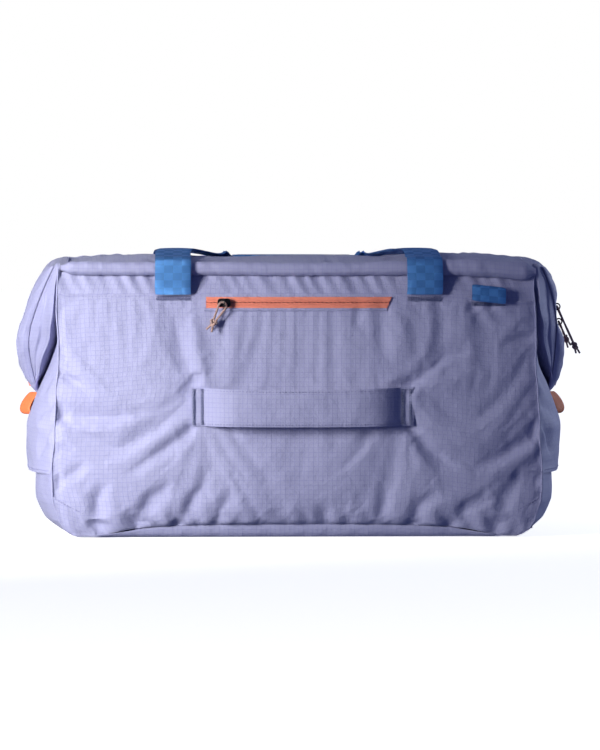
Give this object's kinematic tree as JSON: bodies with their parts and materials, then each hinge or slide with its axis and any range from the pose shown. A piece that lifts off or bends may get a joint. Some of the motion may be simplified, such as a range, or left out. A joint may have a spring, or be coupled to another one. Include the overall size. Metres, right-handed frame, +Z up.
{
  "type": "duffel bag",
  "caption": "Soft lavender travel duffel with webbing carry handles, a folded zip top with end wings, a zipped back pocket and a strap that slides over a suitcase's handle.",
  "frame": {"origin": "middle of the base's underside", "axes": "+X towards the end with the main zip's sliders, +Z up; the back panel with the pass-through strap faces -Y"},
  "size_m": [0.6081, 0.3325, 0.307],
  "materials": {
    "ripstop": "lavender ripstop nylon, satin",
    "lining_cloth": "plain woven lining",
    "blue_webbing": "blue jacquard webbing with a satin check",
    "tab_webbing": "orange ribbed webbing",
    "zip_coral": "coral coil zip and tape",
    "black_metal": "black enamel",
    "stiffener": "moulded sheet",
    "cord_peach": "braided cord",
    "cord_maroon": "braided cord"
  },
  "bodies": {
    "bag_body": {"back_panel": "ripstop", "front_panel": "ripstop", "base_panel": "ripstop", "base_board": "stiffener", "lining": "lining_cloth", "back_left_corner_patch": "ripstop", "back_right_corner_patch": "ripstop", "front_left_corner_patch": "ripstop", "front_right_corner_patch": "ripstop", "back_top_roll": "ripstop", "front_top_roll": "ripstop", "left_end_upper": "ripstop", "left_end_lower": "ripstop", "right_end_upper": "ripstop", "right_end_lower": "ripstop", "left_top_yoke": "ripstop", "left_yoke_zip": "zip_coral", "right_top_yoke": "ripstop", "right_yoke_zip": "zip_coral", "left_snap_stud": "black_metal", "right_snap_stud": "black_metal", "back_left_handle_anchor": "blue_webbing", "back_right_handle_anchor": "blue_webbing", "front_left_handle_anchor": "blue_webbing", "front_right_handle_anchor": "blue_webbing", "trolley_strap": "ripstop", "back_shoulder_loop": "blue_webbing", "front_shoulder_loop": "blue_webbing", "back_zip_tape": "zip_coral", "back_zip_teeth": "zip_coral", "back_pocket_pouch": "lining_cloth"},
    "back_flap": {"back_flap_panel": "ripstop", "back_flap_zip": "zip_coral"},
    "front_flap": {"front_flap_panel": "ripstop", "front_flap_zip": "zip_coral"},
    "left_wing": {"left_wing_panel": "ripstop", "left_wing_zip": "zip_coral", "left_snap_cap": "black_metal"},
    "right_wing": {"right_wing_panel": "ripstop", "right_wing_zip": "zip_coral", "right_snap_cap": "black_metal"},
    "left_loop": {"left_tip_loop": "tab_webbing"},
    "right_loop": {"right_tip_loop": "tab_webbing"},
    "back_handle": {"back_handle_left_leg": "blue_webbing", "back_handle_right_leg": "blue_webbing", "back_handle_grip": "blue_webbing"},
    "front_handle": {"front_handle_left_leg": "blue_webbing", "front_handle_right_leg": "blue_webbing", "front_handle_grip": "blue_webbing"},
    "upper_slider": {"upper_zip_slider": "black_metal"},
    "lower_slider": {"lower_zip_slider": "black_metal"},
    "back_slider": {"back_zip_slider": "black_metal"},
    "upper_pull": {"upper_pull_cord": "cord_maroon", "upper_pull_knot": "cord_maroon"},
    "lower_pull": {"lower_pull_cord": "cord_maroon", "lower_pull_knot": "cord_maroon"},
    "back_pull": {"back_pull_cord": "cord_peach", "back_pull_knot": "cord_peach"}
  },
  "joints": [
    {"name": "back_flap_hinge", "type": "hinge", "parent": "bag_body", "child": "back_flap", "pos_m": [0, -0.138, 0.291], "axis": [1, 0, 0], "range_deg": [0, 75]},
    {"name": "front_flap_hinge", "type": "hinge", "parent": "bag_body", "child": "front_flap", "pos_m": [0, 0.138, 0.291], "axis": [-1, 0, 0], "range_deg": [0, 75]},
    {"name": "left_wing_hinge", "type": "hinge", "parent": "bag_body", "child": "left_wing", "pos_m": [-0.256, 0, 0.29], "axis": [0, 1, 0], "range_deg": [0, 100]},
    {"name": "right_wing_hinge", "type": "hinge", "parent": "bag_body", "child": "right_wing", "pos_m": [0.256, 0, 0.29], "axis": [0, -1, 0], "range_deg": [0, 100]},
    {"name": "left_loop_hinge", "type": "hinge", "parent": "left_wing", "child": "left_loop", "pos_m": [-0.2835, 0, 0.1514], "axis": [0, 1, 0], "range_deg": [0, 70]},
    {"name": "right_loop_hinge", "type": "hinge", "parent": "right_wing", "child": "right_loop", "pos_m": [0.2835, 0, 0.1514], "axis": [0, -1, 0], "range_deg": [0, 70]},
    {"name": "back_handle_hinge", "type": "hinge", "parent": "back_flap", "child": "back_handle", "pos_m": [0, -0.1295, 0.2965], "axis": [1, 0, 0], "range_deg": [0, 95]},
    {"name": "front_handle_hinge", "type": "hinge", "parent": "front_flap", "child": "front_handle", "pos_m": [0, 0.1295, 0.2965], "axis": [-1, 0, 0], "range_deg": [0, 95]},
    {"name": "upper_slider_travel", "type": "slide", "parent": "right_wing", "child": "upper_slider", "axis": [-0.1269, 0, 0.9919], "range_m": [0, 0.011]},
    {"name": "lower_slider_travel", "type": "slide", "parent": "right_wing", "child": "lower_slider", "axis": [0.1269, 0, -0.9919], "range_m": [0, 0.044]},
    {"name": "back_slider_travel", "type": "slide", "parent": "bag_body", "child": "back_slider", "axis": [1, 0, 0], "range_m": [0, 0.165]},
    {"name": "upper_pull_swing", "type": "hinge", "parent": "upper_slider", "child": "upper_pull", "pos_m": [0.29124, 0, 0.24502], "axis": [0, -1, 0], "range_deg": [0, 100]},
    {"name": "lower_pull_swing", "type": "hinge", "parent": "lower_slider", "child": "lower_pull", "pos_m": [0.29336, 0, 0.22842], "axis": [0, -1, 0], "range_deg": [-19, 25]},
    {"name": "back_pull_swing", "type": "hinge", "parent": "back_slider", "child": "back_pull", "pos_m": [-0.08, -0.15794, 0.251], "axis": [-1, 0, 0], "range_deg": [0, 120]}
  ]
}
